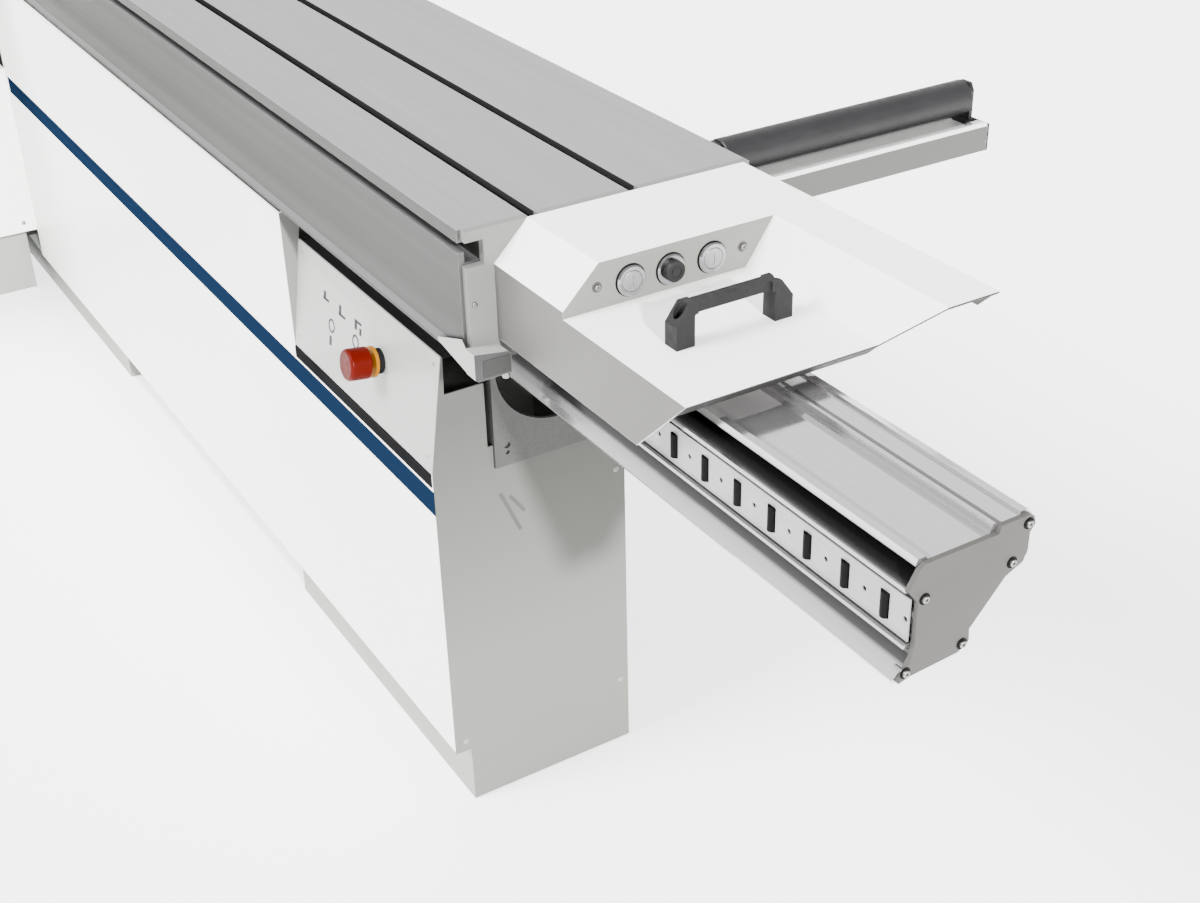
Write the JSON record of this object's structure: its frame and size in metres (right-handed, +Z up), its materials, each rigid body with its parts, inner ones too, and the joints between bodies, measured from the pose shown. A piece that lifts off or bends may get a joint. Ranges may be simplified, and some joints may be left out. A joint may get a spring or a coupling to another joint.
{
  "type": "panel saw",
  "caption": "Sliding-table panel saw with long aluminium carriage on a fixed beam, control hood, outrigger roller, tilting blade unit, cast table, rip and crosscut fences.",
  "frame": {"origin": "centre of the overall outline, on the floor", "axes": "+Y along the carriage away from the operator's end, +X towards the outer side of the carriage, +Z up"},
  "size_m": [1.848, 4.036, 1.36],
  "materials": {
    "white_paint": "smooth semi-gloss powder coat",
    "grey_paint": "matt powder coat",
    "blue_stripe": "satin printed stripe",
    "hood_white": "smooth satin powder coat",
    "anodised": "fine brushed anodising",
    "plate_grey": "matt plate",
    "beam_aluminium": "extruded and anodised",
    "hard_steel": "ground guide flats",
    "zinc_steel": "zinc plated",
    "blade_steel": "ground, carbide tipped",
    "chrome_ring": "polished",
    "silver_cap": "satin",
    "black_plastic": "fine grain",
    "charcoal_plastic": "moulded grain",
    "red_plastic": "moulded",
    "yellow_plastic": "moulded",
    "black_rubber": "matt",
    "black_roller": "satin turned",
    "cast_table": "ground top",
    "cast_grey": "painted casting",
    "clear_guard": "clear moulded cover"
  },
  "bodies": {
    "machine": {"side_panel": "white_paint", "side_stripe": "blue_stripe", "control_panel": "white_paint", "panel_trim": "black_plastic", "estop_yellow_ring": "yellow_plastic", "base_covers": "grey_paint", "plinth_feet": "grey_paint", "base_frame": "grey_paint", "beam_saddles": "cast_grey", "fixed_beam": "beam_aluminium", "beam_end_caps": "plate_grey", "beam_cap_screws": "zinc_steel", "beam_guide_rails": "hard_steel", "main_cabinet": "white_paint", "cabinet_side": "white_paint", "cabinet_plinth": "grey_paint", "main_table": "cast_table", "table_insert": "plate_grey", "extension_leaf": "grey_paint", "fence_rail_bar": "hard_steel", "trunnions": "cast_grey", "guard_support": "grey_paint", "dust_port": "zinc_steel"},
    "estop": {"estop_button": "red_plastic"},
    "door": {"cabinet_door": "white_paint"},
    "cage": {"roller_cage_strips": "silver_cap", "cage_rollers": "hard_steel"},
    "carriage": {"carriage_profile": "anodised", "carriage_end_plates": "plate_grey", "carriage_guide_rails": "hard_steel", "carriage_wipers": "plate_grey", "carriage_screws": "zinc_steel", "control_hood": "hood_white", "button_bezels": "chrome_ring", "bridge_handle": "charcoal_plastic", "outrigger_profile": "anodised", "outrigger_fittings": "black_plastic", "roller_axle": "zinc_steel", "fence_pivot_block": "anodised"},
    "start": {"start_button": "silver_cap"},
    "stop": {"stop_button": "black_plastic"},
    "scoring_start": {"scoring_button": "silver_cap"},
    "roller": {"outrigger_roller": "black_roller"},
    "crosscut": {"crosscut_fence": "anodised"},
    "length_stop": {"flip_stop": "black_plastic"},
    "rip": {"rip_fence": "anodised"},
    "rip_lock": {"fence_lock_lever": "black_plastic"},
    "tilt_unit": {"tilt_frame": "cast_grey"},
    "lift_unit": {"lift_carrier": "cast_grey", "riving_knife": "blade_steel", "motor": "cast_grey", "drive_belt": "black_rubber"},
    "spindle": {"saw_arbor": "zinc_steel", "saw_blade": "blade_steel"},
    "motor_shaft": {"motor_pulley": "zinc_steel"},
    "scoring_spindle": {"scoring_arbor": "zinc_steel", "scoring_blade": "blade_steel"},
    "guard": {"guard_hood": "clear_guard"},
    "tilt_wheel": {"tilt_handwheel": "black_plastic"},
    "lift_wheel": {"lift_handwheel": "black_plastic"}
  },
  "joints": [
    {"name": "carriage_slide", "type": "slide", "parent": "machine", "child": "carriage", "axis": [0, 1, 0], "range_m": [-0.55, 2.2]},
    {"name": "cage_slide", "type": "slide", "parent": "machine", "child": "cage", "axis": [0, 1, 0], "range_m": [-0.275, 1.1]},
    {"name": "start_press", "type": "slide", "parent": "carriage", "child": "start", "axis": [0, 1, 0], "range_m": [0, 0.003], "stiffness_N_per_m": 400},
    {"name": "stop_press", "type": "slide", "parent": "carriage", "child": "stop", "axis": [0, 1, 0], "range_m": [0, 0.004], "stiffness_N_per_m": 400},
    {"name": "scoring_press", "type": "slide", "parent": "carriage", "child": "scoring_start", "axis": [0, 1, 0], "range_m": [0, 0.003], "stiffness_N_per_m": 400},
    {"name": "estop_press", "type": "slide", "parent": "machine", "child": "estop", "axis": [0.9894, 0, -0.1451], "range_m": [0, 0.006], "stiffness_N_per_m": 1500},
    {"name": "outrigger_roller_spin", "type": "hinge", "parent": "carriage", "child": "roller", "pos_m": [0.537, -1.316, 0.8485], "axis": [1, 0, 0], "continuous": true},
    {"name": "crosscut_swing", "type": "hinge", "parent": "carriage", "child": "crosscut", "pos_m": [0.466, 0.81, 0.882], "axis": [0, 0, 1], "range_deg": [-45, 45]},
    {"name": "length_stop_slide", "type": "slide", "parent": "crosscut", "child": "length_stop", "axis": [1, 0, 0], "range_m": [-0.45, 0.25]},
    {"name": "rip_fence_slide", "type": "slide", "parent": "machine", "child": "rip", "axis": [1, 0, 0], "range_m": [-0.5, 0.18]},
    {"name": "rip_lock_swing", "type": "hinge", "parent": "rip", "child": "rip_lock", "pos_m": [-0.354, 0.536, 0.828], "axis": [1, 0, 0], "range_deg": [-75, 0]},
    {"name": "blade_tilt", "type": "hinge", "parent": "machine", "child": "tilt_unit", "pos_m": [-0.009, 1.15, 0.87], "axis": [0, -1, 0], "range_deg": [0, 45]},
    {"name": "blade_lift", "type": "slide", "parent": "tilt_unit", "child": "lift_unit", "axis": [0, 0, 1], "range_m": [-0.07, 0]},
    {"name": "spindle_spin", "type": "hinge", "parent": "lift_unit", "child": "spindle", "pos_m": [-0.009, 1.17, 0.7925], "axis": [1, 0, 0], "continuous": true},
    {"name": "motor_spin", "type": "hinge", "parent": "lift_unit", "child": "motor_shaft", "pos_m": [-0.134, 1.31, 0.52], "axis": [1, 0, 0], "continuous": true},
    {"name": "scoring_spin", "type": "hinge", "parent": "tilt_unit", "child": "scoring_spindle", "pos_m": [-0.009, 0.9, 0.812], "axis": [1, 0, 0], "continuous": true},
    {"name": "guard_height", "type": "slide", "parent": "machine", "child": "guard", "axis": [0, 0, 1], "range_m": [-0.01, 0.12]},
    {"name": "tilt_wheel_turn", "type": "hinge", "parent": "machine", "child": "tilt_wheel", "pos_m": [-0.134, 0.628, 0.42], "axis": [0, 1, 0], "range_deg": [0, 1800]},
    {"name": "lift_wheel_turn", "type": "hinge", "parent": "machine", "child": "lift_wheel", "pos_m": [-0.354, 0.628, 0.42], "axis": [0, 1, 0], "range_deg": [-1800, 0]},
    {"name": "door_swing", "type": "hinge", "parent": "machine", "child": "door", "pos_m": [-0.542, 1.621, 0.5], "axis": [0, 0, -1], "range_deg": [0, 90]}
  ],
  "couplings": [
    {"joint": "cage_slide", "follows": "carriage_slide", "ratio": 0.5},
    {"joint": "motor_spin", "follows": "spindle_spin", "ratio": 0.69231},
    {"joint": "tilt_wheel_turn", "follows": "blade_tilt", "ratio": 40},
    {"joint": "lift_wheel_turn", "follows": "blade_lift", "rad_per_m": 448}
  ]
}
